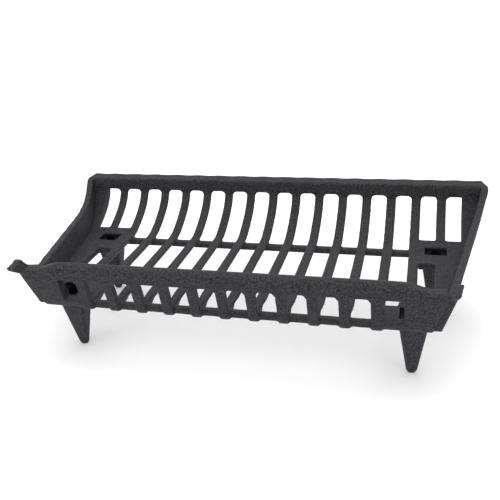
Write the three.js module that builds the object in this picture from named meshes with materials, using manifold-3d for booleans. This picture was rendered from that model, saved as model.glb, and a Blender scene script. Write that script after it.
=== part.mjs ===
// A cast-iron log grate for a fireplace: J-shaped bars between a tall back rail and a low front
// rail, two flared end plates with forward horns, four corner pads and four tapered legs that
// bolt up under the pads. Millimetres, +Z up, +Y to the back, the origin on the hearth under
// the middle of the grate.
import * as THREE from 'three';
import { mergeVertices } from 'three/addons/utils/BufferGeometryUtils.js';
import Module from 'manifold-3d';

// ---- driving dimensions -------------------------------------------------------------------

// Bars.
const sideBarCount = 7;         // bars on each side of the middle one
const lastBarInset = 66.5;      // the last bar's middle, inside the plate's outer face
const barFaceWidth = 15;        // the face that the logs lie on
const barUnderWidth = 5;        // the keel under the bed and the back
const barDepth = 10;            // from the face to the keel
const barEdgeRound = 2.2;       // the rounding of the face's two edges
const wallFaceWidth = 10;       // the same face where it turns up into the front wall
const wallOuterWidth = 13.5;    // the front wall's outer face, which is the wide one there
const wallDepth = 13;           // between those two
const barThickenLength = 32;    // the stretch of bed in which a bar grows to the wall's section
const barHeel = 2.4;            // how far a bar's keel stands out further at the bend
const barRootRound = 5;         // the fillet where a bar runs into the back rail
const wallRootRound = 2.5;      // and where it runs into the front rail

// The bars' face, seen from the side.
const bedHeight = 97;           // the bed above the hearth, at its back end
const bedFall = 1;              // how much lower the bed is at its front end
const backRise = 54;            // from the bed up to the back rail
const backCurveDepth = 94;      // how far the curved back reaches forward
const backLean = 0.14;          // the lean of the back under its rail, in mm per mm
const backCurveTurn = 64;       // where the long back curve gives way to the short toe curve
const backCurveDrop = 50.5;     // the drop of the long back curve
const bedLength = 303;          // from the back rail's front face to the corner of the front wall
const frontRise = 38.3;         // from the bed's front end up to the front rail
const frontLean = 0.28;         // the forward lean of the front wall, in mm per mm
const frontBendRadius = 3;      // the inside of the bend between the bed and the front wall

// Rails.
const backRailHeight = 18.5;    // its front face
const backRailDepth = 17;       // its top, front to back
const backRailTopRise = 5;      // how much its top climbs to the back
const backRailEndRound = 3;     // the rounding of its upper edges
const backRailOverhang = 0.6;   // past the end plates, each end
const backRailEndTaper = 0.6;   // how its ends draw in to the back, in mm per mm
const backRailRootDepth = 11;   // its underside, front to back
const backRailRootHeight = 6;   // the upright part of its rear face
const frontBeadRadius = 10;     // the round bead on top of the front rail
const frontBeadForward = 5;     // the bead's middle, in front of the front wall's inner face
const frontBeadRise = 11.8;     // and above the rail's underside
const frontBeadInset = 111.5;   // the full bead's end, inside the plate's widest place
const frontBeadRunOut = 26;     // the slope in which the bead runs out at each end
const frontRailEndHeight = 12.7; // the rail's height past that, over the corners
const frontBeadStart = -30;     // in degrees, where the bead begins on the inner side
const frontBeadEnd = 210;       // and where it ends on the outer side
const frontRailInset = 64;      // its end, inside the plate's widest place
const midRailSetback = 83;      // the middle rail's centre, in front of the back rail's face
const midRailWidth = 10;
const midRailDepth = 9;
const midRailSink = 5;          // its top, below the bars' face
const soleRailWidth = 10;
const soleRailDepth = 8;
const soleRailForward = 2.2;    // its centre, in front of the corner of the front wall
const soleRailSink = 1.9;       // its top, below the bars' face at the bend

// End plates.
const plateThickness = 10;
const plateSplay = 0.15;        // how the plates draw in toward the front, in mm per mm
const plateFlareBack = 0.14;    // how they lean out as they rise, at the back, in mm per mm
const plateFlareFront = 0.33;   // and at the front wall
const plateHalfSpan = 339.5;    // outer face from the middle, at the back rail's underside
const curbRise = 35.5;          // the curb above the bed, at the foot of the back curve
const curbFall = 5.8;           // how much lower the curb is at its front end
const curbFrontInset = 34;      // the curb's front end, behind the corner of the front wall
const plateFrontSetback = 5.3;  // the plate's front edge, behind the front wall's outer face
const plateFootRise = 1.5;      // that edge's lower end, above the bars' underside
const hornReach = 16;           // the horn's tip, in front of the front wall's top
const hornRise = 22.2;          // the horn's top, above the front wall's top
const hornTopBack = 12.5;       // and its rear end, behind it
const hornFall = 1.7;           // how much lower the horn's tip is
const hornNose = 4;             // the height of its blunt end
const hornNoseLean = 1.5;       // how much that end leans back
const hornRound = 2;            // the rounding of its corners
const hornHeelBack = 21.7;      // the foot of the horn's rear slope, behind the wall's top
const hornHeelRise = 9.2;       // and above it
const hornHeelRound = 4;
const hornSeatRise = 3.4;       // where the horn's underside meets the plate, above the wall's top
const plateTopSink = 2;         // the plate's rear top, below the back rail's front edge
const curbSweepStart = [0.19, 0.41];   // the bends of the sweep between the two, as shares of
const curbSweepEnd = [0.4, 0.91];      // its length and of its drop
const sideFloorInset = 74.5;    // the solid strip of bed beside each plate, from its widest place
const backWebInset = 35.5;      // the solid strip of back beside each plate, in the same way
const plateRoot = 1;            // how far both strips run on into the plate

// Corner pads, with a pocket for a leg bolt in each.
const rearPadBack = 60;         // the rear pad's two edges, in front of the back rail's face
const rearPadFront = 136;
const frontPadLength = 46;      // the front pad, behind the corner of the front wall
const cornerWindowSlack = 1;    // the front corner's window, wider than a gap between two bars
const cornerSillHeight = 2.5;   // and its sill, above the bed
const padBossDrop = 6;          // the boss under a pad, below the bars' keel
const bossLength = 44;
const bossWidth = 39;
const bossRoot = 2;             // how far it runs up into the pad
const pocketLength = 34;        // along X
const pocketWidth = 28;         // along Y
const pocketDepth = 8;
const pocketDraft = 1.2;        // how much smaller the pocket's floor is, each side
const pocketHeadroom = 12;      // the cut above the pad, where the curved back rises

// Legs.
const frontLegInset = 100.5;    // its middle, inside the plate's widest place
const frontLegBehind = 31;      // and behind the corner of the front wall
const rearLegInset = 73.5;
const rearLegSetback = 91;      // its middle, in front of the back rail's face
const legTopLength = 38;        // along X
const legTopWidth = 30;         // along Y
const legFootLength = 13;
const legFootWidth = 6;
const legFootBack = 3;          // the foot's centre, behind the middle of the leg's top
const legFlange = 9;            // the solid top
const legWall = 5;              // the web and the two side ribs of the channel
const legToeHeight = 28;        // the solid toe under the channel
const legEdgeChamfer = 3;       // the slanted edges of the web
const legFootRound = 1.5;       // how the foot's end draws in, each side
const legFootRoundHeight = 4;

// Leg bolts, one up under each pad.
const boltDiameter = 8;
const boltHeadAcross = 13;
const boltHeadHeight = 5.3;
const boltStickOut = 2.5;       // thread below the nut
const nutAcross = 13;
const nutHeight = 6.5;
const boltHole = 9;

// Seats.
const seam = 0.3;               // the gap where one piece meets another

// Finish.
const castIron = { color: 0x34353a, roughness: 0.62, metalness: 0.55 };
const railIron = { color: 0x37383d, roughness: 0.6, metalness: 0.55 };
const legIron = { color: 0x303136, roughness: 0.66, metalness: 0.5 };
const boltSteel = { color: 0x26272a, roughness: 0.5, metalness: 0.8 };

// ---- places worked out from the sizes -----------------------------------------------------

const railUnderside = bedHeight + backRise;
const bedFrontHeight = bedHeight - bedFall;
const frontRailUnderside = bedFrontHeight + frontRise;
const wallTopInner = -bedLength - frontRise * frontLean;
const wallTopOuter = wallTopInner - wallDepth / Math.cos(Math.atan(frontLean));
const railTop = railUnderside + backRailHeight + backRailTopRise;
const barPitch = (plateHalfSpan - lastBarInset) / sideBarCount;
const fullBarX = (sideBarCount - 1) * barPitch;
const wallBarX = (sideBarCount - 2) * barPitch;
const soleRailY = -(bedLength + soleRailForward);
const frontPadBack = bedLength - frontPadLength;
const frontLegSetback = bedLength - frontLegBehind;
const frontLegX = plateHalfSpan - frontLegInset;
const rearLegX = plateHalfSpan - rearLegInset;
const far = 3 * plateHalfSpan;  // past everything
const trimAllowance = 6;        // what is drawn past a rail's face before it is trimmed
const outlineSegments = 8;      // straight lines in each curve of an outline
const roundSides = 16;          // of a bolt's shank and its hole
const hexSides = 6;
const longCurveSteps = 7;
const toeCurveSteps = 3;
const bendSteps = 4;
const plateSteps = 24;          // quads in the twisted face of an end plate, along Y
const plateRows = 6;            // and up Z
const rootFilletShares = [1, 0.42, 0.12, 0];

// ---- solids -------------------------------------------------------------------------------

const wasm = await Module();
wasm.setup();

function toSolid(geometry) {
  const bare = geometry.clone();
  bare.deleteAttribute('normal');
  bare.deleteAttribute('uv');
  const merged = mergeVertices(bare, 1e-4);
  return new wasm.Manifold(new wasm.Mesh({
    numProp: 3,
    vertProperties: new Float32Array(merged.attributes.position.array),
    triVerts: new Uint32Array(merged.index.array),
  }));
}

function toGeometry(solid) {
  const mesh = solid.getMesh();
  const geometry = new THREE.BufferGeometry();
  geometry.setAttribute('position', new THREE.BufferAttribute(mesh.vertProperties, 3));
  geometry.setIndex(new THREE.BufferAttribute(mesh.triVerts, 1));
  geometry.computeVertexNormals();
  return geometry;
}

// A box between two corners.
function block(low, high) {
  const size = high.map((value, axis) => value - low[axis]);
  const geometry = new THREE.BoxGeometry(...size);
  geometry.translate(...low.map((value, axis) => value + size[axis] / 2));
  return toSolid(geometry);
}

// An outline in the Y-Z plane, drawn out along X.
function extrudeAlongX(outline, x0, x1) {
  const shape = outline instanceof THREE.Shape ? outline : new THREE.Shape(outline);
  const geometry = new THREE.ExtrudeGeometry(shape, {
    depth: x1 - x0,
    bevelEnabled: false,
    curveSegments: outlineSegments,
  });
  geometry.applyMatrix4(new THREE.Matrix4().makeBasis(
    new THREE.Vector3(0, 1, 0),
    new THREE.Vector3(0, 0, 1),
    new THREE.Vector3(1, 0, 0),
  ));
  geometry.translate(x0, 0, 0);
  return toSolid(geometry);
}

// Carries an outline up to a corner and past it, the corner rounded off.
function addRoundedCorner(shape, before, corner, after, round) {
  const near = corner.clone().add(before.clone().sub(corner).setLength(round));
  const past = corner.clone().add(after.clone().sub(corner).setLength(round));
  shape.lineTo(near.x, near.y);
  shape.quadraticCurveTo(corner.x, corner.y, past.x, past.y);
}

// A closed skin over convex rings with the same number of points, each ring's points running
// anticlockwise for an eye that the rings come toward.
function loft(rings) {
  const count = rings[0].length;
  const positions = rings.flat().flatMap((point) => point.toArray());
  const index = [];
  for (let ring = 0; ring + 1 < rings.length; ring += 1) {
    for (let i = 0; i < count; i += 1) {
      const a = ring * count + i;
      const b = ring * count + (i + 1) % count;
      index.push(a, b, b + count, a, b + count, a + count);
    }
  }
  const last = (rings.length - 1) * count;
  for (let i = 1; i + 1 < count; i += 1) {
    index.push(0, i + 1, i, last, last + i, last + i + 1);
  }
  const geometry = new THREE.BufferGeometry();
  geometry.setAttribute('position', new THREE.Float32BufferAttribute(positions, 3));
  geometry.setIndex(index);
  return toSolid(geometry);
}

// A vertical prism with a regular outline, such as a bolt's shank or its head.
function prism(acrossFlats, sides, z0, z1) {
  const radius = acrossFlats / 2 / Math.cos(Math.PI / sides);
  const geometry = new THREE.CylinderGeometry(radius, radius, z1 - z0, sides);
  geometry.rotateY(Math.PI / sides);
  geometry.rotateX(Math.PI / 2);
  geometry.translate(0, 0, (z0 + z1) / 2);
  return toSolid(geometry);
}

// ---- the bars' face, seen from the side ---------------------------------------------------

// Points from the back rail down the curved back, along the bed, round the bend and up the
// front wall. Each holds its place (x is Y and y is Z), the direction of its depth, the depth
// there, the widths of the face and of the far side, and how near the middle of the bend it is.
function barFaceLine() {
  const top = new THREE.Vector2(0, railUnderside);
  const turn = new THREE.Vector2(-backCurveTurn, railUnderside - backCurveDrop);
  const foot = new THREE.Vector2(-backCurveDepth, bedHeight);
  const bedSlope = bedFall / (bedLength - backCurveDepth);
  // The control point of a parabola that leaves the rail with the back's lean.
  const halfDrop = backCurveDrop / 2;
  const longControl = new THREE.Vector2(-backLean * halfDrop, railUnderside - halfDrop);
  const longCurve = new THREE.QuadraticBezierCurve(top, longControl, turn);
  // The toe curve carries on in the long curve's direction and ends along the bed.
  const toeSlope = (longControl.y - turn.y) / (longControl.x - turn.x);
  const toeReach = (turn.y - foot.y - bedSlope * (turn.x - foot.x)) / (toeSlope - bedSlope);
  const toeControl = new THREE.Vector2(turn.x - toeReach, turn.y - toeReach * toeSlope);
  const toeCurve = new THREE.QuadraticBezierCurve(turn, toeControl, foot);
  const slim = { depth: barDepth, face: barFaceWidth, keel: barUnderWidth, bend: 0 };
  const stout = { depth: wallDepth, face: wallFaceWidth, keel: wallOuterWidth, bend: 0 };
  const line = [];
  const addCurve = (curve, steps, from) => {
    for (let step = from; step <= steps; step += 1) {
      const along = curve.getTangent(step / steps);
      const inward = new THREE.Vector2(-along.y, along.x);
      line.push({ place: curve.getPoint(step / steps), inward, ...slim });
    }
  };
  addCurve(longCurve, longCurveSteps, 0);
  addCurve(toeCurve, toeCurveSteps, 1);
  // The bend is an arc that touches the bed and the front wall.
  const turnAngle = Math.PI / 2 - Math.atan(frontLean) - Math.atan(bedSlope);
  const reach = frontBendRadius * Math.tan(turnAngle / 2);
  const bedDirection = new THREE.Vector2(-1, -bedSlope).normalize();
  const bedInward = new THREE.Vector2(-bedDirection.y, bedDirection.x);
  const corner = new THREE.Vector2(-bedLength, bedFrontHeight);
  const bendStart = corner.clone().addScaledVector(bedDirection, -reach);
  const thickening = bendStart.clone().addScaledVector(bedDirection, -barThickenLength);
  line.push({ place: thickening, inward: bedInward.clone(), ...slim });
  const centre = bendStart.clone().addScaledVector(bedInward, -frontBendRadius);
  for (let step = 0; step <= bendSteps; step += 1) {
    const share = step / bendSteps;
    const inward = bedInward.clone().rotateAround(new THREE.Vector2(), -turnAngle * share);
    const place = centre.clone().addScaledVector(inward, frontBendRadius);
    line.push({ place, inward, ...stout, bend: 1 - Math.abs(2 * share - 1) });
  }
  const wallTop = new THREE.Vector2(wallTopInner, frontRailUnderside);
  line.push({ place: wallTop, inward: line.at(-1).inward.clone(), ...stout });
  return line;
}

const faceLine = barFaceLine();
const under = faceLine.map(({ place, inward, depth }) => (
  place.clone().addScaledVector(inward, depth)));

// The bars' side outline, carried a little past both rails so that it can be trimmed to them.
function barOutline() {
  const up = new THREE.Vector2(0, trimAllowance);
  const upFront = new THREE.Vector2(-trimAllowance * frontLean, trimAllowance);
  const places = faceLine.map(({ place }) => place);
  const outline = [places[0].clone().add(up), ...places];
  outline.push(places.at(-1).clone().add(upFront), under.at(-1).clone().add(upFront));
  outline.push(...under.slice().reverse(), under[0].clone().add(up));
  return outline;
}

// A piece of the casting with the bars' own side outline, from x0 to x1.
function barShapedStrip(x0, x1) {
  return extrudeAlongX(barOutline(), x0, x1);
}

// One bar at X = 0. Its section is wide and round-edged on the face and narrow at the keel, and
// it spreads into a fillet at both rails. Clearance grows it for cutting its own seat.
function barSolid(clearance = 0) {
  const rings = [];
  const addRing = ({ place, inward, depth, face, keel, bend }, spread) => {
    const half = face / 2 + spread + clearance;
    const halfUnder = keel / 2 + spread + clearance;
    const keelDepth = depth + barHeel * bend + clearance;
    const keelRound = barEdgeRound / 2;
    const section = [
      [half - barEdgeRound, -clearance], [-half + barEdgeRound, -clearance],
      [-half, barEdgeRound], [-halfUnder, keelDepth - keelRound],
      [-halfUnder + keelRound, keelDepth], [halfUnder - keelRound, keelDepth],
      [halfUnder, keelDepth - keelRound], [half, barEdgeRound],
    ];
    rings.push(section.map(([x, reach]) => {
      const { x: y, y: z } = place.clone().addScaledVector(inward, reach);
      return new THREE.Vector3(x, y, z);
    }));
  };
  const atEnd = (end, direction, distance) => (
    { ...end, place: end.place.clone().addScaledVector(direction, distance) });
  const first = faceLine[0];
  const last = faceLine.at(-1);
  const down = new THREE.Vector2(-backLean, -1).normalize();
  const downWall = new THREE.Vector2(frontLean, -1).normalize();
  const fillet = (radius) => rootFilletShares.map((share, i) => (
    { spread: radius * share, distance: radius * i / (rootFilletShares.length - 1) }));
  addRing(atEnd(first, down, -trimAllowance), barRootRound);
  fillet(barRootRound).forEach(({ spread, distance }) => (
    addRing(atEnd(first, down, distance), spread)));
  faceLine.slice(1, -1).forEach((point) => addRing(point, 0));
  fillet(wallRootRound).reverse().forEach(({ spread, distance }) => (
    addRing(atEnd(last, downWall, distance), spread)));
  addRing(atEnd(last, downWall, -trimAllowance), wallRootRound);
  return loft(rings);
}

// ---- what trims the casting's members to each other ---------------------------------------

const aboveBackRail = block([-far, -backCurveDepth, railUnderside - seam], [far, far, far]);
const aboveFrontRail = block(
  [-far, -far, frontRailUnderside - seam], [far, -bedLength / 2, far]);

function trimToRails(solid) {
  return solid.subtract(aboveBackRail).subtract(aboveFrontRail);
}

// The outer face of a right-hand end plate, moved inward by inset: where it is at Y and Z.
function plateFaceX(y, z, inset = 0) {
  const flare = THREE.MathUtils.lerp(plateFlareBack, plateFlareFront, -y / bedLength);
  return plateHalfSpan + plateSplay * y + flare * (z - railUnderside) - inset;
}

// Everything on the inner side of the plate's face, moved inward by inset. The face is twisted,
// so it is cut into small quads.
function insidePlate(inset) {
  const size = [4 * plateHalfSpan, 2 * bedLength, 2 * railTop];
  const geometry = new THREE.BoxGeometry(...size, 1, plateSteps, plateRows);
  geometry.translate(0, -bedLength / 2, railUnderside / 2);
  const place = geometry.attributes.position;
  for (let i = 0; i < place.count; i += 1) {
    if (place.getX(i) > 0) {
      place.setX(i, plateFaceX(place.getY(i), place.getZ(i), inset));
    }
  }
  return toSolid(geometry);
}

const padClearOfPlate = insidePlate(plateThickness + seam);
const clearOfPlates = padClearOfPlate.intersect(padClearOfPlate.mirror([1, 0, 0]));

// ---- rails --------------------------------------------------------------------------------

function backRail() {
  const frontTop = new THREE.Vector2(backRailTopRise / 2, railUnderside + backRailHeight);
  const rearTop = new THREE.Vector2(frontTop.x + backRailDepth, railTop);
  const frontFoot = new THREE.Vector2(0, railUnderside);
  const rearFoot = new THREE.Vector2(backRailRootDepth, railUnderside + backRailRootHeight);
  const shape = new THREE.Shape();
  shape.moveTo(frontFoot.x, frontFoot.y);
  addRoundedCorner(shape, frontFoot, frontTop, rearTop, backRailEndRound);
  addRoundedCorner(shape, frontTop, rearTop, rearFoot, backRailEndRound);
  shape.lineTo(rearFoot.x, rearFoot.y);
  shape.lineTo(rearFoot.x, railUnderside);
  shape.closePath();
  const half = plateFaceX(0, railUnderside + backRailHeight) + backRailOverhang;
  const withinEnd = insidePlate(-backRailOverhang);
  const rail = extrudeAlongX(shape, -half, half).intersect(withinEnd)
    .intersect(withinEnd.mirror([1, 0, 0]));
  // Both ends draw in to the back.
  const reach = 2 * (backRailHeight + backRailDepth);
  const corners = [
    new THREE.Vector2(half, 0), new THREE.Vector2(half + reach, 0),
    new THREE.Vector2(half + reach, reach), new THREE.Vector2(half - reach * backRailEndTaper, reach),
  ];
  const geometry = new THREE.ExtrudeGeometry(new THREE.Shape(corners), {
    depth: 2 * reach,
    bevelEnabled: false,
  });
  geometry.translate(0, 0, railUnderside - reach);
  const wedge = toSolid(geometry);
  return rail.subtract(wedge).subtract(wedge.mirror([1, 0, 0]));
}

function frontRail() {
  const bead = new THREE.Vector2(wallTopInner - frontBeadForward, frontRailUnderside + frontBeadRise);
  const [start, end] = [frontBeadStart, frontBeadEnd].map(THREE.MathUtils.degToRad);
  const shape = new THREE.Shape();
  shape.moveTo(wallTopOuter, frontRailUnderside);
  shape.lineTo(wallTopInner, frontRailUnderside);
  shape.absarc(bead.x, bead.y, frontBeadRadius, start, end, false);
  shape.closePath();
  const half = plateHalfSpan - frontRailInset;
  const rail = extrudeAlongX(shape, -half, half).intersect(clearOfPlates);
  // The bead runs out toward both ends, where the rail is lower.
  const runOut = plateHalfSpan - frontBeadInset;
  const endTop = frontRailUnderside + frontRailEndHeight;
  const cut = new THREE.Shape([
    new THREE.Vector2(runOut, bead.y + frontBeadRadius),
    new THREE.Vector2(runOut + frontBeadRunOut, endTop),
    new THREE.Vector2(far, endTop), new THREE.Vector2(far, far), new THREE.Vector2(runOut, far),
  ]);
  const cutGeometry = new THREE.ExtrudeGeometry(cut, { depth: far, bevelEnabled: false });
  cutGeometry.rotateX(Math.PI / 2);
  const slope = toSolid(cutGeometry);
  return rail.subtract(slope).subtract(slope.mirror([1, 0, 0]));
}

// The middle rail crosses the bars under the bed.
const midRailY = -midRailSetback;
const midRailTop = bedHeight - midRailSink;

// The sole rail crosses them at the bend in the same way.
const soleRailTop = bedFrontHeight - soleRailSink;

const midRail = { y: midRailY, top: midRailTop, width: midRailWidth, depth: midRailDepth };
const soleRail = { y: soleRailY, top: soleRailTop, width: soleRailWidth, depth: soleRailDepth };

// The space that a crossing rail takes out of the bars: its lower half and all below it.
function lapZone(rail, grow = 0) {
  const half = rail.width / 2 + grow;
  const lap = rail.top - rail.depth / 2 + grow;
  return block([-far, rail.y - half, -far], [far, rail.y + half, lap]);
}

// A rail that crosses bars: a square strip, and in its lap the bars' full section, so that
// every bar is let in over it. The wider lap leaves the two a little overlap to join by.
function lappedRail(rail, barXs) {
  const reach = Math.max(...barXs) + barFaceWidth / 2;
  const half = rail.width / 2;
  const bar = trimToRails(barSolid()).intersect(lapZone(rail));
  const seat = barSolid(seam).subtract(lapZone(rail, seam / 4));
  const strip = block([-reach, rail.y - half, rail.top - rail.depth], [reach, rail.y + half, rail.top]);
  const joined = barXs.reduce((solid, x) => solid.add(bar.translate([x, 0, 0])), strip);
  return barXs.reduce((solid, x) => solid.subtract(seat.translate([x, 0, 0])), joined);
}

// ---- bars, corner pads and end plates -----------------------------------------------------

// Which part of the side outline a bar keeps, by how far out it stands.
function barAt(position) {
  const x = Math.abs(position) * barPitch;
  let bar = trimToRails(barSolid());
  if (x > fullBarX) {
    return bar.subtract(block([-far, -far, -far], [far, -rearPadBack + seam, far]));
  }
  bar = bar.subtract(lapZone(midRail, seam));
  if (x > wallBarX) {
    return bar.subtract(block([-far, -far, -far], [far, -frontPadBack + seam, far]));
  }
  return bar.subtract(lapZone(soleRail, seam));
}

const padUnderside = bedHeight - barDepth - padBossDrop;

function drafted(length, width, draft, z0, z1) {
  const ring = (grow, z) => [[-1, -1], [1, -1], [1, 1], [-1, 1]].map(([sx, sy]) => (
    new THREE.Vector3(sx * (length / 2 + grow), sy * (width / 2 + grow), z)));
  return loft([ring(-draft, z0), ring(0, z1)]);
}

// The boss, pocket and bolt hole of a pad, at the leg's place.
function withPocket(pad, x, y, padTop) {
  const boss = drafted(bossLength, bossWidth, pocketDraft, padUnderside, padTop - barDepth + bossRoot);
  const floor = padTop - pocketDepth;
  const pocketTop = padTop + pocketHeadroom;
  const pocket = drafted(pocketLength, pocketWidth, pocketDraft, floor, pocketTop);
  const hole = prism(boltHole, roundSides, 0, padTop);
  return pad.add(boss.translate([x, y, 0])).subtract(pocket.translate([x, y, 0]))
    .subtract(hole.translate([x, y, 0]));
}

function bedHeightAt(y) {
  const along = (-y - backCurveDepth) / (bedLength - backCurveDepth);
  return bedHeight - bedFall * Math.max(along, 0);
}

function inFrontOf(setback) {
  return block([-far, -far, -far], [far, -setback, far]);
}

function rearPad() {
  const inner = fullBarX + barFaceWidth / 2 + seam;
  const strip = trimToRails(barShapedStrip(inner, far)).intersect(
    block([-far, -rearPadFront, -far], [far, -rearPadBack, far]));
  const pad = withPocket(strip, rearLegX, -rearLegSetback, bedHeightAt(-rearLegSetback));
  return pad.intersect(padClearOfPlate).subtract(barSolid(seam).translate([fullBarX, 0, 0]));
}

function frontCorner() {
  const inner = wallBarX + barFaceWidth / 2 + seam;
  const wallTop = frontRailUnderside + seam;
  const strip = trimToRails(barShapedStrip(inner, far)).intersect(
    block([-far, -far, -far], [far, -frontPadBack, wallTop]));
  const windowOuter = wallBarX + barPitch - barFaceWidth / 2 + seam + cornerWindowSlack;
  const window = block(
    [0, -far, bedFrontHeight + cornerSillHeight],
    [windowOuter, -bedLength + frontBendRadius, far],
  );
  const corner = withPocket(strip.subtract(window), frontLegX, -frontLegSetback,
    bedHeightAt(-frontLegSetback));
  return corner.intersect(padClearOfPlate).intersect(inFrontOf(frontPadBack))
    .subtract(barSolid(seam).translate([wallBarX, 0, 0]));
}

// The side outline of an end plate: the curb sweeps down from the back rail, runs forward
// beside the bed and climbs into a blunt horn in front of the front wall.
function plateOutline() {
  const rearTop = new THREE.Vector2(-seam, railUnderside + backRailHeight - plateTopSink);
  const curbBack = new THREE.Vector2(-backCurveDepth, bedHeight + curbRise);
  const curbFront = new THREE.Vector2(-bedLength + curbFrontInset, curbBack.y - curbFall);
  const fromWallTop = (back, rise) => (
    new THREE.Vector2(wallTopOuter + back, frontRailUnderside + rise));
  const heel = fromWallTop(hornHeelBack, hornHeelRise);
  const hornTop = fromWallTop(hornTopBack, hornRise);
  const hornTip = fromWallTop(-hornReach, hornRise - hornFall);
  const nose = fromWallTop(hornNoseLean - hornReach, hornRise - hornFall - hornNose);
  const seat = fromWallTop(plateFrontSetback, hornSeatRise);
  const footHeight = bedFrontHeight - barDepth + plateFootRise;
  const foot = new THREE.Vector2(
    wallTopOuter + plateFrontSetback + frontLean * (frontRailUnderside - footHeight), footHeight);
  const sweep = ([length, drop]) => [
    THREE.MathUtils.lerp(rearTop.x, curbBack.x, length),
    THREE.MathUtils.lerp(rearTop.y, curbBack.y, drop),
  ];
  const shape = new THREE.Shape();
  shape.moveTo(rearTop.x, rearTop.y);
  shape.bezierCurveTo(...sweep(curbSweepStart), ...sweep(curbSweepEnd), curbBack.x, curbBack.y);
  shape.lineTo(curbFront.x, curbFront.y);
  addRoundedCorner(shape, curbFront, heel, hornTop, hornHeelRound);
  addRoundedCorner(shape, heel, hornTop, hornTip, hornRound);
  addRoundedCorner(shape, hornTop, hornTip, nose, hornRound);
  addRoundedCorner(shape, hornTip, nose, seat, hornRound);
  shape.lineTo(seat.x, seat.y);
  shape.lineTo(foot.x, foot.y);
  // Back under the bed, along the bars' underside.
  under.slice(1, longCurveSteps + toeCurveSteps + 2).reverse()
    .forEach((point) => shape.lineTo(point.x, point.y));
  shape.lineTo(barDepth, railUnderside - seam);
  shape.lineTo(rearTop.x, railUnderside - seam);
  shape.closePath();
  return shape;
}

function endPlate() {
  const slab = extrudeAlongX(plateOutline(), 0, far);
  const plate = slab.intersect(insidePlate(0)).subtract(insidePlate(plateThickness));
  const withinRoot = insidePlate(plateRoot);
  const strip = (inset, low, high) => trimToRails(barShapedStrip(plateHalfSpan - inset, far))
    .intersect(withinRoot).intersect(block([0, low, -far], [far, high, far]));
  const backWeb = strip(backWebInset, -rearPadBack + seam, far);
  const sideBed = strip(sideFloorInset, -frontPadBack + seam, -rearPadFront - seam);
  return plate.add(backWeb).add(sideBed);
}

// ---- legs and bolts -----------------------------------------------------------------------

const legTop = padUnderside - seam;
const flangeUnderside = legTop - legFlange;

// A leg is a tapered channel: a web in front, a rib down each side, a solid top and toe.
function leg() {
  const ring = (z, grow, cut) => {
    const share = z / legTop;
    const length = THREE.MathUtils.lerp(legFootLength, legTopLength, share) / 2 - grow;
    const width = THREE.MathUtils.lerp(legFootWidth, legTopWidth, share) / 2;
    const back = legFootBack * (1 - share);
    const front = -width + cut;
    const rear = cut > 0 ? width + legTopWidth : width;
    return [
      [-length, rear], [-length, front + legEdgeChamfer], [-length + legEdgeChamfer, front],
      [length - legEdgeChamfer, front], [length, front + legEdgeChamfer], [length, rear],
    ].map(([x, y]) => new THREE.Vector3(x, y + back, z));
  };
  const body = loft([ring(0, legFootRound, 0), ring(legFootRoundHeight, 0, 0), ring(legTop, 0, 0)]);
  const hollow = loft([
    ring(legToeHeight, legWall / 2, legWall), ring(flangeUnderside, legWall, legWall)]);
  const hole = prism(boltHole, roundSides, flangeUnderside - seam, legTop + seam);
  return body.subtract(hollow).subtract(hole);
}

// Bolt and nut stand at the leg's place: the head in the pocket, the nut under the flange.
function bolt(padTop) {
  const headFloor = padTop - pocketDepth + seam;
  const head = prism(boltHeadAcross, hexSides, headFloor, headFloor + boltHeadHeight);
  const end = flangeUnderside - seam - nutHeight - boltStickOut;
  return head.add(prism(boltDiameter, roundSides, end, headFloor + seam));
}

function nut() {
  const top = flangeUnderside - seam;
  return prism(nutAcross, hexSides, top - nutHeight, top)
    .subtract(prism(boltDiameter + 2 * seam, roundSides, 0, legTop));
}

// ---- the grate ----------------------------------------------------------------------------

const grate = new THREE.Group();

function addPiece(name, solid, finish) {
  const mesh = new THREE.Mesh(toGeometry(solid), new THREE.MeshStandardMaterial(finish));
  mesh.name = name;
  grate.add(mesh);
  return mesh;
}

addPiece('back_rail', backRail(), railIron);
addPiece('front_rail', frontRail(), railIron);

const positions = Array.from({ length: 2 * sideBarCount + 1 }, (_, i) => i - sideBarCount);
positions.forEach((position) => {
  const number = String(position + sideBarCount + 1).padStart(2, '0');
  const mesh = addPiece(`bar_${number}`, barAt(position), castIron);
  mesh.position.x = position * barPitch;
});

const lappedOverMid = positions.map((position) => position * barPitch)
  .filter((x) => Math.abs(x) <= fullBarX);
const lappedOverSole = lappedOverMid.filter((x) => Math.abs(x) <= wallBarX);
addPiece('middle_rail', lappedRail(midRail, lappedOverMid), railIron);
addPiece('sole_rail', lappedRail(soleRail, lappedOverSole), railIron);

const sides = [{ name: 'left', flip: true }, { name: 'right', flip: false }];
sides.forEach(({ name, flip }) => {
  const place = (solid) => (flip ? solid.mirror([1, 0, 0]) : solid);
  const sign = flip ? -1 : 1;
  addPiece(`end_plate_${name}`, place(endPlate()), castIron);
  addPiece(`rear_pad_${name}`, place(rearPad()), castIron);
  addPiece(`front_corner_${name}`, place(frontCorner()), castIron);
  const corners = [
    { corner: 'front', x: frontLegX, setback: frontLegSetback },
    { corner: 'rear', x: rearLegX, setback: rearLegSetback },
  ];
  corners.forEach(({ corner, x, setback }) => {
    const fittings = [
      [`leg_${corner}_${name}`, place(leg()), legIron],
      [`leg_bolt_${corner}_${name}`, bolt(bedHeightAt(-setback)), boltSteel],
      [`leg_nut_${corner}_${name}`, nut(), boltSteel],
    ];
    fittings.forEach(([title, solid, finish]) => {
      addPiece(title, solid, finish).position.set(sign * x, -setback, 0);
    });
  });
});

// The origin stands under the middle of the grate, front to back.
const reach = new THREE.Box3().setFromObject(grate);
grate.position.y = -(reach.min.y + reach.max.y) / 2;

export default grate;
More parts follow.
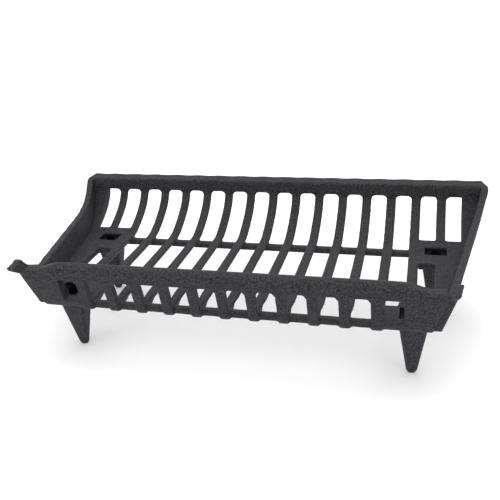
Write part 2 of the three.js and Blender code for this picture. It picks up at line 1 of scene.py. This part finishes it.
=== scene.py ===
# %% [markdown]
# # A cast-iron log grate
#
# A log grate stands in a fireplace and holds the logs clear of the hearth, so that air can reach
# the fire from below. This one is a single grey-iron casting: fifteen J-shaped bars run between a
# tall back rail and a low front rail, and a flared plate closes each end. Four short cast legs
# are bolted up under its corners.
#
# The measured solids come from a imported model, which is loaded first and never moved. Everything
# here is in metres: +X to the right, +Y to the tall back, +Z up from the hearth.

import math

import bmesh
import bpy
import numpy as np
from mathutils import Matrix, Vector


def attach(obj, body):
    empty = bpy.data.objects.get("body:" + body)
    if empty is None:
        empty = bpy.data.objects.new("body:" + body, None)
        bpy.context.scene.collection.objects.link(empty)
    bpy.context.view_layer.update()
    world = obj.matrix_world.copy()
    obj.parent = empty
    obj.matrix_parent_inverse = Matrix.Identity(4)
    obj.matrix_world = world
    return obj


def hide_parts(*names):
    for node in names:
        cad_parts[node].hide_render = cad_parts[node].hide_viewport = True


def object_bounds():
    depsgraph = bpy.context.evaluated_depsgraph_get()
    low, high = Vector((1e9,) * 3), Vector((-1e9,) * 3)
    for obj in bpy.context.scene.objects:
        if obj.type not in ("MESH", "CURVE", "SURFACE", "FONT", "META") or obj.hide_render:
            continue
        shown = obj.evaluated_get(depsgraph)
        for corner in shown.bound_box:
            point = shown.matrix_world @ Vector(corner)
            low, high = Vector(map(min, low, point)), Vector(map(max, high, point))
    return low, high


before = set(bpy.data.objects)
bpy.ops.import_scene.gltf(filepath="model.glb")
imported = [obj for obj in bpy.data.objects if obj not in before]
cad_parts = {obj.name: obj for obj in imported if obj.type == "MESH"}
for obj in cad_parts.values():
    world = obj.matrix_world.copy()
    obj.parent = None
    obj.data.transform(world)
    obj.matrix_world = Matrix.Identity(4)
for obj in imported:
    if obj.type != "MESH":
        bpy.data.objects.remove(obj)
solid_low, solid_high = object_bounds()
print("measured box:", [round(v, 4) for v in solid_low], [round(v, 4) for v in solid_high])
print("solids:", len(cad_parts))

# %% [markdown]
# ## The camera
#
# A picture can only be compared with a photograph if both are taken from the same place. The
# photographer stood to the right of the middle and looked down at the grate by about 24 degrees,
# with the camera rolled a little. A camera's place could be found by eye, by dragging it about.
# Here it was worked out instead, from where the evenly spaced bars and the corners fall in the
# photograph, so that it needs only three numbers for its place, three for its turn, and the lens.

# %% Set up the camera
CAMERA_PLACE = (0.23813, -0.86406, 0.51040)
CAMERA_TURN = (66.274, 3.296, 14.075)     # degrees about X, Y and Z
LENS_MM = 47.37
SENSOR_MM = 36.0
NEAREST, FARTHEST = 0.01, 100.0           # the camera sees nothing nearer or farther than these

camera_data = bpy.data.cameras.new("camera")
camera_data.lens = LENS_MM
camera_data.sensor_width = SENSOR_MM
camera_data.clip_start = NEAREST
camera_data.clip_end = FARTHEST
camera = bpy.data.objects.new("camera", camera_data)
camera.location = CAMERA_PLACE
camera.rotation_euler = [math.radians(angle) for angle in CAMERA_TURN]
bpy.context.scene.collection.objects.link(camera)
bpy.context.scene.camera = camera
print("camera at", CAMERA_PLACE, "lens", LENS_MM, "mm")

# %% [markdown]
# ## Colours and nodes
#
# Colours are easiest to choose as the hex values that a paint chart or a picture editor shows.
# Blender mixes light, so it wants linear values, and one small function turns the first into the
# second. A second one adds a node to a material, fills in its settings and joins its inputs, which
# keeps each material short enough to read as a recipe.

# %% Define the colour and node helpers
MM = 0.001


def linear(hex_colour):
    """The linear colour of an sRGB hex value."""
    channels = [int(hex_colour[i:i + 2], 16) / 255 for i in (1, 3, 5)]
    curve = [c / 12.92 if c <= 0.04045 else ((c + 0.055) / 1.055) ** 2.4 for c in channels]
    return (*curve, 1.0)


def add_node(tree, kind, settings=None, inputs=None):
    """Adds a node; an input that is another node's output is joined, and any other is set."""
    node = tree.nodes.new(kind)
    for name, value in (settings or {}).items():
        setattr(node, name, value)
    for name, value in (inputs or {}).items():
        if isinstance(value, bpy.types.NodeSocket):
            tree.links.new(value, node.inputs[name])
        else:
            node.inputs[name].default_value = value
    return node


def new_material(name):
    """An empty material and its node tree."""
    material = bpy.data.materials.new(name)
    material.use_nodes = True
    material.node_tree.nodes.clear()
    return material, material.node_tree


def per_mm(size_mm):
    """A texture's scale for features about size_mm wide."""
    return 1.0 / (size_mm * MM)


print("mid charcoal #34363b is", [round(c, 4) for c in linear("#34363b")[:3]])

# %% [markdown]
# ## Sand-cast iron
#
# Grey iron is poured into a mould of packed sand. Its skin copies the sand, so it is matt and
# grainy, with slow waves where the mould gave way a little, and edges that are never sharp. A
# grate is then dipped in thin black heat-proof paint. The paint is nearly black, but it lies thin
# on top of each grain and where the casting has been rubbed, and there it shows a dull grey. In
# the inside corners and in the bolt pockets, where shadow falls, the colour is darkened further as
# painted shade.
#
# The grain could be a picture of real sand, but a picture stretches over a curved casting. Noise
# in three dimensions runs through the metal like the sand did through the mould. Foundry sand is
# about 0.3 mm across, too fine to show here, so the grain is drawn at 2.4 mm.

# %% Lay out the iron's patterns
GRAIN_MM = 2.4           # drawn coarser than real sand, about 0.3 mm, so that it shows
WAVE_MM = 14.0           # the slow waves of the mould's face
STAIN_MM = 38.0          # patches of thicker and thinner paint


def iron_patterns(tree):
    """The sand grain, the mould's waves and the paint's patches, running through the metal."""
    place = add_node(tree, "ShaderNodeTexCoord").outputs["Object"]
    grain = add_node(tree, "ShaderNodeTexNoise", None, {
        "Vector": place, "Scale": per_mm(GRAIN_MM), "Detail": 3.0, "Roughness": 0.6})
    wave = add_node(tree, "ShaderNodeTexNoise", None, {
        "Vector": place, "Scale": per_mm(WAVE_MM), "Detail": 2.0, "Roughness": 0.55})
    stain = add_node(tree, "ShaderNodeTexNoise", None, {
        "Vector": place, "Scale": per_mm(STAIN_MM), "Detail": 4.0, "Roughness": 0.6})
    return grain.outputs["Fac"], wave.outputs["Fac"], stain.outputs["Fac"]


print("grain, waves and patches per metre:",
      [round(per_mm(size)) for size in (GRAIN_MM, WAVE_MM, STAIN_MM)])

# %% [markdown]
# ## The paint, the rubbed edges and the painted shade
#
# Three layers make the colour. The paint is thin in some places and thick in others, and each
# grain is a little lighter on its top. High edges are rubbed back to a dull grey, and the grain
# breaks the rubbed line up. Painted shade, near black, covers both in the inside corners, where
# shadow falls, and in pockets that are marked on the mesh itself, because a pocket is too wide to
# be found by how sharply its surface turns.
#
# That turn is what Blender calls pointiness: 0.5 on a flat face, more on an outward edge and less
# in an inside corner. Edges could be painted by hand instead, but there are hundreds of them.

# %% Define the iron's three layers
PATCHES = (0.32, 0.68)         # from thick to thin paint, in the stain noise, which is 0.5 on average
GRAIN_TOPS = (0.34, 0.72)      # from the foot to the top of a grain, in the grain noise
GRAIN_WORN = 0.6               # how far a grain's top is worn
EDGES = (0.515, 0.60)          # from a flat face to a fully rubbed edge, in pointiness
EDGE_WORN = 0.75
CREASES = (0.42, 0.495)        # from a fully shaded inside corner to a face with no painted shade
CREASE_SHADE = 0.9
PAINTED_SHADE_MARK = "painted_shade"                  # the mesh's own mark of the pockets that get painted shade, from 0 to 1
# the near-black colour that is painted as shade into creases and pockets
PAINTED_SHADE_BLACK = "#030303"


def thin_paint(tree, grain, stain, dark, pale, worn):
    """Black paint in thicker and thinner patches, lighter on top of each grain."""
    patches = add_node(tree, "ShaderNodeMapRange", None, {
        "Value": stain, "From Min": PATCHES[0], "From Max": PATCHES[1]})
    paint = add_node(tree, "ShaderNodeMix", {"data_type": "RGBA"}, {
        "Factor": patches.outputs["Result"], "A": linear(dark), "B": linear(pale)})
    tops = add_node(tree, "ShaderNodeMapRange", None, {
        "Value": grain, "From Min": GRAIN_TOPS[0], "From Max": GRAIN_TOPS[1],
        "To Max": GRAIN_WORN})
    return add_node(tree, "ShaderNodeMix", {"data_type": "RGBA"}, {
        "Factor": tops.outputs["Result"], "A": paint.outputs["Result"],
        "B": linear(worn)}).outputs["Result"]


def rubbed(tree, paint, grain, turn, worn):
    """The paint with its high edges rubbed to the worn grey."""
    edges = add_node(tree, "ShaderNodeMapRange", None, {
        "Value": turn, "From Min": EDGES[0], "From Max": EDGES[1], "To Max": EDGE_WORN})
    broken = add_node(tree, "ShaderNodeMath", {"operation": "MULTIPLY"}, {
        0: edges.outputs["Result"], 1: grain})
    return add_node(tree, "ShaderNodeMix", {"data_type": "RGBA"}, {
        "Factor": broken.outputs["Value"], "A": paint, "B": linear(worn)}).outputs["Result"]


def shaded_in_paint(tree, paint, turn):
    """The paint darkened to near black as painted shade in its inside corners and in the marked
    pockets.
    """
    creases = add_node(tree, "ShaderNodeMapRange", None, {
        "Value": turn, "From Min": CREASES[0], "From Max": CREASES[1],
        "To Min": CREASE_SHADE, "To Max": 0.0})
    pockets = add_node(tree, "ShaderNodeAttribute", {"attribute_name": PAINTED_SHADE_MARK})
    painted_shade = add_node(tree, "ShaderNodeMath", {"operation": "MAXIMUM"}, {
        0: creases.outputs["Result"], 1: pockets.outputs["Fac"]})
    return add_node(tree, "ShaderNodeMix", {"data_type": "RGBA"}, {
        "Factor": painted_shade.outputs["Value"], "A": paint,
        "B": linear(PAINTED_SHADE_BLACK)}).outputs["Result"]


print("rubbed from pointiness", EDGES[0], "and sooty below", CREASES[1])

# %% [markdown]
# ## The iron itself
#
# The waves and the grain also tilt the surface a little, each through a bump node, the second on
# top of the first. Paint over sand-cast iron isn't shiny: its roughness stays between a half and
# three quarters, and its reflection is weaker than a clean paint's, because soot and dust lie in
# the grain. The legs get a slightly paler paint than the rest, as they have in the photograph.

# %% Make the sand-cast iron
RELIEF_MM = 0.9                # how deep the waves and the grain could go at full strength
WAVE_STRENGTH = 0.35
GRAIN_STRENGTH = 0.9
GLOSS_GRAIN = (0.3, 0.7)       # from the smoothest to the roughest grain, in the grain noise


def sand_cast_iron(name, dark, pale, worn, rough_low, rough_high):
    """Painted grey iron: three shades of the paint, and the range of its roughness."""
    material, tree = new_material(name)
    grain, wave, stain = iron_patterns(tree)
    turn = add_node(tree, "ShaderNodeNewGeometry").outputs["Pointiness"]
    paint = thin_paint(tree, grain, stain, dark, pale, worn)
    colour = shaded_in_paint(tree, rubbed(tree, paint, grain, turn, worn), turn)
    waves = add_node(tree, "ShaderNodeBump", None, {
        "Height": wave, "Strength": WAVE_STRENGTH, "Distance": RELIEF_MM * MM})
    sand = add_node(tree, "ShaderNodeBump", None, {
        "Height": grain, "Normal": waves.outputs["Normal"], "Strength": GRAIN_STRENGTH,
        "Distance": RELIEF_MM * MM})
    rough = add_node(tree, "ShaderNodeMapRange", None, {
        "Value": grain, "From Min": GLOSS_GRAIN[0], "From Max": GLOSS_GRAIN[1],
        "To Min": rough_low, "To Max": rough_high})
    surface = add_node(tree, "ShaderNodeBsdfPrincipled", None, {
        "Base Color": colour, "Roughness": rough.outputs["Result"],
        "Normal": sand.outputs["Normal"], "Metallic": 0.0, "IOR": 1.5,
        "Specular IOR Level": 0.18})
    add_node(tree, "ShaderNodeOutputMaterial", None, {"Surface": surface.outputs["BSDF"]})
    return material


casting_iron = sand_cast_iron("painted_cast_iron", "#08080a", "#141417", "#545459", 0.50, 0.72)
leg_iron = sand_cast_iron("painted_cast_iron_legs", "#0c0c0e", "#1a1a1d", "#5a5a60", 0.52, 0.74)
print("iron:", casting_iron.name, leg_iron.name)

# %% [markdown]
# ## From solids to a casting
#
# The measured solids are sharp-edged and stand 0.3 mm apart, because a shape library needs each
# bar as a piece of its own. The real grate came out of one mould: its bars run into the rails in
# small fillets and no edge is sharp. Each joint could be filleted by hand, but there are more
# than sixty of them.
#
# Instead the solids are swollen until they overlap, and a voxel remesh wraps one new skin round
# all of them, like sand packed round a pattern. A few rounds of smoothing then soften every edge
# and fill every inside corner at once. Smoothing shrinks a thin bar a little, and the swelling
# makes up for that.
#
# It takes a few tools of the bench: one that makes a mesh from a shape, one that makes a piece
# from a mesh, one that works a piece's modifiers into its mesh, and one that clears a piece away.

# %% Set out the bench tools
def as_mesh(shape, name):
    """An ordinary mesh made from a bmesh, which is then freed."""
    mesh = bpy.data.meshes.new(name)
    shape.to_mesh(mesh)
    shape.free()
    return mesh


def new_piece(name, mesh):
    """An object that shows the mesh."""
    piece = bpy.data.objects.new(name, mesh)
    bpy.context.scene.collection.objects.link(piece)
    return piece


def work_in(piece):
    """Works the piece's modifiers into its mesh."""
    depsgraph = bpy.context.evaluated_depsgraph_get()
    finished = bpy.data.meshes.new_from_object(piece.evaluated_get(depsgraph))
    rough, piece.data = piece.data, finished
    piece.modifiers.clear()
    bpy.data.meshes.remove(rough)


def discard(piece):
    """Clears away a piece and its mesh."""
    mesh = piece.data
    bpy.data.objects.remove(piece)
    bpy.data.meshes.remove(mesh)


print("solids that go into the one casting:",
      sum(not name.startswith("leg_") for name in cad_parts))

# %% [markdown]
# ## Cutting and swelling the solids
#
# Some solids get a pocket cut out before they are swollen. A boolean modifier does that, because
# a sharp-edged solid is quick to cut and the finished skin isn't. Swelling could be done by
# scaling, but that would move a long bar's ends more than its sides. Moving each corner outward
# along its normal thickens the bar by the same amount everywhere.

# %% Cut and swell the solids
WELD_MM = 0.001          # corners of a solid that are closer than this are one
MOST_SHELL = 2.0         # a very sharp corner isn't pushed further out than this many times


def add_box(shape, low, high):
    """Adds a box between two corners, given in mm, to a bmesh."""
    size = (Vector(high) - Vector(low)) * MM
    middle = (Vector(high) + Vector(low)) * MM / 2
    for vertex in bmesh.ops.create_cube(shape, size=1.0)["verts"]:
        vertex.co = Vector(c * s for c, s in zip(vertex.co, size)) + middle


def carved(shape, boxes):
    """The shape less the given boxes."""
    solid = new_piece("solid", as_mesh(shape, "solid"))
    for low, high in boxes:
        box = bmesh.new()
        add_box(box, low, high)
        cutter = new_piece("cutter", as_mesh(box, "cutter"))
        cut = solid.modifiers.new("cut", "BOOLEAN")
        cut.operation = "DIFFERENCE"
        cut.object = cutter
        work_in(solid)
        discard(cutter)
    rest = bmesh.new()
    rest.from_mesh(solid.data)
    discard(solid)
    return rest


def swollen(names, grow_mm, cuts=None, fills=()):
    """One mesh of the named solids, cut and filled, each face moved outward."""
    joined = bmesh.new()
    for low, high in fills:
        add_box(joined, low, high)
    for name in names:
        part = bmesh.new()
        part.from_mesh(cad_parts[name].data)
        bmesh.ops.remove_doubles(part, verts=part.verts, dist=WELD_MM * MM)
        if name in (cuts or {}):
            part = carved(part, cuts[name])
        part.normal_update()
        moves = [v.normal * grow_mm * MM * min(v.calc_shell_factor(), MOST_SHELL)
                 for v in part.verts]
        for vertex, move in zip(part.verts, moves):
            vertex.co += move
        mesh = as_mesh(part, "swollen_part")
        joined.from_mesh(mesh)
        bpy.data.meshes.remove(mesh)
    return as_mesh(joined, "swollen")


print("most that a sharp corner is pushed out:", MOST_SHELL, "times")

# %% [markdown]
# ## The skin
#
# The remesh modifier in voxel mode fills the swollen solids with small cubes and wraps a closed
# skin round them, so overlaps and seams vanish. The voxel has to be a good deal smaller than the
# thinnest web, about 5 mm here. The smooth modifier then works like a file on the edges and like
# a fillet in the corners.
#
# A mould is never quite true, so the skin is pushed in and out by a slow noise of about a third
# of a millimetre. Last, the decimate modifier merges faces that lie almost flat, because the
# voxels are all one size, and a broad flat plate needs far fewer faces than they give it.

# %% Wrap and roughen a skin
SOFTNESS = 0.5           # how far a point moves toward its neighbours in one round of smoothing
LUMP_MM = 16.0           # the spacing of the mould's slow unevenness


def wrapped(name, solids, voxel_mm, rounds):
    """A piece with one smooth closed skin round a mesh of overlapping solids."""
    piece = new_piece(name, solids)
    skin = piece.modifiers.new("skin", "REMESH")
    skin.mode = "VOXEL"
    skin.voxel_size = voxel_mm * MM
    soften = piece.modifiers.new("soften", "SMOOTH")
    soften.factor = SOFTNESS
    soften.iterations = rounds
    work_in(piece)
    return piece


def roughen(piece, uneven_mm, keep):
    """Gives the skin the mould's unevenness, and keeps the given share of its faces."""
    lumps = bpy.data.textures.new(piece.name + "_lumps", "CLOUDS")
    lumps.noise_scale = LUMP_MM * MM
    uneven = piece.modifiers.new("uneven", "DISPLACE")
    uneven.texture = lumps
    uneven.texture_coords = "LOCAL"
    uneven.strength = uneven_mm * MM
    thin_out = piece.modifiers.new("thin_out", "DECIMATE")
    thin_out.ratio = keep
    work_in(piece)


print("mould's lumps:", LUMP_MM, "mm apart")

# %% [markdown]
# ## Fitting a skin in its solids' place
#
# A finished skin takes over from the solids it was made of. Its points are first held inside the
# measured box, so that the casting keeps the grate's real size. The painted shade of its pockets
# is written on the mesh, one number for each point, where the paint can read it. It could be a
# second material instead, but that would end in a hard line, and a number can fade out.

# %% Fit a skin
PAINTED_SHADE_FADE_MM = 2.0       # how far the painted shade reaches out of its pocket


def points_of(mesh):
    """The mesh's points as rows of x, y and z."""
    points = np.empty(3 * len(mesh.vertices))
    mesh.vertices.foreach_get("co", points)
    return points.reshape(-1, 3)


def painted_shade_in(points, pockets):
    """1 in each box of pockets, fading to 0 just outside it."""
    painted_shade = np.zeros(len(points))
    for low, high in pockets:
        outside = np.maximum(np.array(low) * MM - points, points - np.array(high) * MM)
        away = np.linalg.norm(np.maximum(outside, 0), axis=1)
        painted_shade = np.maximum(painted_shade, np.clip(1 - away / (PAINTED_SHADE_FADE_MM * MM), 0, 1))
    return painted_shade


def fit(piece, names, iron, pockets=()):
    """Holds the skin inside the measured box, finishes it, and puts it in its solids' place."""
    mesh = piece.data
    mesh.name = piece.name
    points = np.clip(points_of(mesh), solid_low, solid_high)
    mesh.vertices.foreach_set("co", points.ravel())
    mesh.polygons.foreach_set("use_smooth", [True] * len(mesh.polygons))
    # the pockets' painted shade, written on the mesh for the paint to read
    painted_shade = mesh.attributes.new(PAINTED_SHADE_MARK, "FLOAT", "POINT")
    painted_shade.data.foreach_set("value", painted_shade_in(points, pockets))
    mesh.materials.clear()
    mesh.materials.append(iron)
    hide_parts(*names)
    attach(piece, "root")
    print(piece.name, "stands for", len(names), "solids with", len(mesh.polygons), "faces")


print("soot fades out over", PAINTED_SHADE_FADE_MM, "mm")

# %% [markdown]
# ## Details of the corners
#
# The front corners are where the casting is most like a box. Round each leg's bolt there is a
# deep pocket that is always in the dark. Behind the little window of the right corner a notch
# lets daylight through the pad, and on the left a small ledge is there instead. More ledges carry
# the pads on behind the rail. They could be drawn as outlines, but they are all simple boxes, so
# two opposite corners in millimetres say all there is to say. They are given for the right side
# and mirrored for the left.

# %% Place the pockets and ledges
BOLT_POCKET = ((221, -138.5, 88), (257, -97, 115))       # in the front pad, round the bolt
WINDOW_NOTCH = ((202.4, -105, 70), (218.5, -94, 110))    # in the rear edge of the right pad
PAD_LEDGES = [
    ((219, -106, 87), (230, -78, 95.5)),                 # the pad's rear edge, by the last bar
    ((228, -97, 87), (268, -78, 95.5)),                  # and from there to the end plate
    ((200, -145, 90), (207, -136, 98.8)),                # the foot of the window
]
LEFT_LEDGE = ((-220, -97, 87), (-201, -82, 95.5))        # where the right side has its notch
# boxes round the pockets whose colour is painted near black as shade
PAINTED_SHADE_POCKETS = [
    ((222, -137, 80), (229, -107, 94.5)),                # beside the front bolt
    ((231, -122, 80), (255, -98, 94)),                   # round the front bolt
    ((250, 58, 80), (283, 86, 94.5)),                    # round the rear bolt
]


def mirrored(box):
    """The same box on the grate's other side."""
    (x0, y0, z0), (x1, y1, z1) = box
    return ((-x1, y0, z0), (-x0, y1, z1))


CUTS = {"front_corner_right": [BOLT_POCKET, WINDOW_NOTCH],
        "front_corner_left": [mirrored(BOLT_POCKET)]}
FILLS = PAD_LEDGES + [mirrored(ledge) for ledge in PAD_LEDGES] + [LEFT_LEDGE]
# the painted-shade boxes, on the right and mirrored to the left
PAINTED_SHADE_BOXES = PAINTED_SHADE_POCKETS + [mirrored(pocket) for pocket in PAINTED_SHADE_POCKETS]
print("boxes cut:", sum(map(len, CUTS.values())), "filled:", len(FILLS), "sooty:", len(PAINTED_SHADE_BOXES))

# %% [markdown]
# ## The grate's casting
#
# Bars, rails, end plates and corner pads all came out of the same mould, so one skin covers them.
# Three places flow more softly than the rest: the ends of the front rail's round bead, which run
# out over the corners, the roots of the blunt horns, and the ledges behind the front pads. More
# smoothing everywhere would thin the bars, so a vertex group limits the extra rounds to those
# places, strongest in the middle and fading out.

# %% Cast the grate and melt the soft places
CAST_IN_ONE = sorted(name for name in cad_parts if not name.startswith("leg_"))
BEAD_ENDS = [(side * x, -158, 149) for side in (-1, 1) for x in (236, 246, 256)]
HORN_ROOTS = [(side * 298, y, 152) for side in (-1, 1) for y in (-160, -145, -130)]
LEDGE_ENDS = [(side * 220, y, 91) for side in (-1, 1) for y in (-90, -79)]
MELT_CORE = 1 / 3        # full strength within this share of the reach


def melt(piece, near, reach_mm, rounds):
    """Smooths the piece over many rounds within reach of each of some points, given in mm."""
    points = points_of(piece.data)
    share = np.zeros(len(points))
    for spot in near:
        away = np.linalg.norm(points - np.array(spot) * MM, axis=1) / (reach_mm * MM)
        share = np.maximum(share, np.clip((1 - away) / (1 - MELT_CORE), 0, 1))
    group = piece.vertex_groups.new(name="melt")
    for index in np.flatnonzero(share):
        group.add([int(index)], float(share[index]), "REPLACE")
    soften = piece.modifiers.new("melt", "SMOOTH")
    soften.vertex_group = group.name
    soften.factor = SOFTNESS
    soften.iterations = rounds
    work_in(piece)
    piece.vertex_groups.clear()
    print("melted", np.count_nonzero(share), "points")


casting = wrapped("grate_casting", swollen(CAST_IN_ONE, grow_mm=0.32, cuts=CUTS, fills=FILLS),
                  voxel_mm=1.25, rounds=5)
melt(casting, BEAD_ENDS, reach_mm=24, rounds=80)
melt(casting, HORN_ROOTS, reach_mm=26, rounds=30)
melt(casting, LEDGE_ENDS, reach_mm=14, rounds=40)

# %% [markdown]
# ## The back rail's scallops
#
# Over each bar the top edge of the back rail dips by less than a millimetre, because the thick
# metal where bar and rail meet cools last and draws in. It could be modelled in the rail's
# outline, but a cosine wave along the rail does the same, fading in over the top few millimetres
# so that the rail's face keeps its place.
#
# With that the casting has its shape. It is roughened like the mould, and about a quarter of its
# faces are kept, which brings it under the 200,000 that a printable mesh may have here.

# %% Draw the back rail's top in over each bar
BAR_PITCH_MM = 39.0
SCALLOP_MM = 0.7
SCALLOP_BASE_MM = 166.0  # where the scallops begin, above the hearth
SCALLOP_FADE_MM = 6.0    # and the height over which they come in
BACK_RAIL_MM = 150.0     # only the back rail is this high so far back

points = points_of(casting.data)
on_top = (np.clip((points[:, 2] / MM - SCALLOP_BASE_MM) / SCALLOP_FADE_MM, 0, 1)
          * (points[:, 1] > BACK_RAIL_MM * MM))
over_bar = 0.5 + 0.5 * np.cos(2 * np.pi * points[:, 0] / (BAR_PITCH_MM * MM))
points[:, 2] -= SCALLOP_MM * MM * on_top * over_bar
casting.data.vertices.foreach_set("co", points.ravel())
print("rail points drawn in:", np.count_nonzero(on_top))

roughen(casting, uneven_mm=0.35, keep=0.265)
fit(casting, CAST_IN_ONE, casting_iron, PAINTED_SHADE_BOXES)

# %% [markdown]
# ## The legs
#
# Each leg is a small casting of its own: a tapered channel with a solid top, through which its
# bolt goes, and a blunt toe. It gets its own skin, with finer voxels, because its ribs are thin,
# and only two rounds of smoothing, so that the toe stays square enough to stand on.

# %% Cast the legs
for corner in ("front_left", "front_right", "rear_left", "rear_right"):
    solid = "leg_" + corner
    leg = wrapped("cast_leg_" + corner, swollen([solid], grow_mm=0.12), voxel_mm=0.9, rounds=2)
    roughen(leg, uneven_mm=0.25, keep=0.45)
    fit(leg, [solid], leg_iron)

# %% [markdown]
# ## Black-oxide steel
#
# The bolts and nuts are plain steel with a black oxide finish, a thin chemical skin that keeps
# the metal's own dull gloss. It is darker and smoother than the castings round it. A metal
# mirrors more at a flat angle, and the oxide holds that back, so the specular tint is dark too.
# Their solids could be skinned like the castings, but they are machined parts and already the
# right shape, so they keep them, and only the finish is new.

# %% Finish the bolts and nuts
SMEAR_MM = 3.0           # the oxide's cloudiness


def black_oxide_steel(name):
    """Steel under a thin black oxide skin, a little uneven in its gloss."""
    material, tree = new_material(name)
    place = add_node(tree, "ShaderNodeTexCoord").outputs["Object"]
    smear = add_node(tree, "ShaderNodeTexNoise", None, {
        "Vector": place, "Scale": per_mm(SMEAR_MM), "Detail": 4.0}).outputs["Fac"]
    colour = add_node(tree, "ShaderNodeMix", {"data_type": "RGBA"}, {
        "Factor": smear, "A": linear("#08080a"), "B": linear("#131316")}).outputs["Result"]
    shine = add_node(tree, "ShaderNodeMapRange", None, {
        "Value": smear, "To Min": 0.45, "To Max": 0.65}).outputs["Result"]
    surface = add_node(tree, "ShaderNodeBsdfPrincipled", None, {
        "Base Color": colour, "Roughness": shine, "Metallic": 1.0,
        "Specular Tint": linear("#48484c")})
    add_node(tree, "ShaderNodeOutputMaterial", None, {"Surface": surface.outputs["BSDF"]})
    return material


oxide_steel = black_oxide_steel("black_oxide_steel")
fixings = [solid for name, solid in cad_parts.items()
           if name.startswith(("leg_bolt_", "leg_nut_"))]
for fixing in fixings:
    fixing.data.materials.clear()
    fixing.data.materials.append(oxide_steel)
print("bolts and nuts:", len(fixings))

# %% [markdown]
# ## The floor
#
# The photograph is a catalogue picture on pure white. A curved paper backdrop could give that, but
# the grate is looked at from all sides. A wide round floor in matt white paint looks the same
# from each of them, and it reaches far enough that its rim is never near the grate.

# %% Lay the floor
FLOOR_RADIUS = 30.0      # metres
FLOOR_SIDES = 64

disc = bmesh.new()
bmesh.ops.create_circle(disc, cap_ends=True, segments=FLOOR_SIDES, radius=FLOOR_RADIUS)
floor = new_piece("floor", as_mesh(disc, "floor"))
floor_paint, floor_tree = new_material("matt_white_paint")
floor_surface = add_node(floor_tree, "ShaderNodeBsdfPrincipled", None, {
    "Base Color": linear("#fcfcfc"), "Roughness": 0.9, "Specular IOR Level": 0.2})
add_node(floor_tree, "ShaderNodeOutputMaterial", None, {
    "Surface": floor_surface.outputs["BSDF"]})
floor.data.materials.append(floor_paint)
print("floor radius:", FLOOR_RADIUS, "m")

# %% [markdown]
# ## The soft panels
#
# Catalogue light comes mostly from above, from panels so wide that no shadow has an edge. A small
# lamp would throw a hard shadow of every bar. Three square area lights are used instead, one
# overhead and one on each side of the camera, and each is turned to face the grate. They only add
# a little direction, because the sky in the next step gives most of the light.

# %% Hang the panels
GRATE_MIDDLE = (0.0, 0.0, 0.1)


def panel(name, place, size, watts):
    """A square soft panel that faces the grate."""
    data = bpy.data.lights.new(name, "AREA")
    data.shape = "SQUARE"
    data.size = size
    data.energy = watts
    light = bpy.data.objects.new(name, data)
    light.location = place
    toward = Vector(GRATE_MIDDLE) - Vector(place)
    light.rotation_euler = toward.to_track_quat("-Z", "Y").to_euler()
    bpy.context.scene.collection.objects.link(light)


panel("overhead", (0.0, 0.3, 2.2), size=2.4, watts=8.0)
panel("left_of_camera", (-1.8, -1.6, 1.2), size=1.4, watts=4.0)
panel("right_of_camera", (2.0, -1.5, 1.3), size=1.4, watts=2.5)

# %% [markdown]
# ## The sky
#
# A plain white world would light the grate equally from all sides and flatten it. This one is
# brightest overhead and dimmer toward the horizon: it lights the whole floor and the tops of the
# rails, and leaves the undersides and the sides of the bars darker, which shows their shape. The
# world's generated coordinate points where one looks, so its Z says how high up that is.
#
# The standard view is chosen because it shows full white as full white, as the photograph does.

# %% Light the sky
HORIZON = 0.50           # the sky's strength near the floor
ZENITH = 1.75            # and straight overhead

world = bpy.data.worlds.new("pale_sky")
world.use_nodes = True
sky = world.node_tree
upward = add_node(sky, "ShaderNodeSeparateXYZ", None, {
    "Vector": add_node(sky, "ShaderNodeTexCoord").outputs["Generated"]}).outputs["Z"]
glow = add_node(sky, "ShaderNodeMapRange", None, {
    "Value": upward, "To Min": HORIZON, "To Max": ZENITH}).outputs["Result"]
backdrop = sky.nodes["Background"]
backdrop.inputs["Color"].default_value = linear("#ffffff")
sky.links.new(glow, backdrop.inputs["Strength"])
bpy.context.scene.world = world
bpy.context.scene.view_settings.view_transform = "Standard"
print("sky strength from", HORIZON, "to", ZENITH)
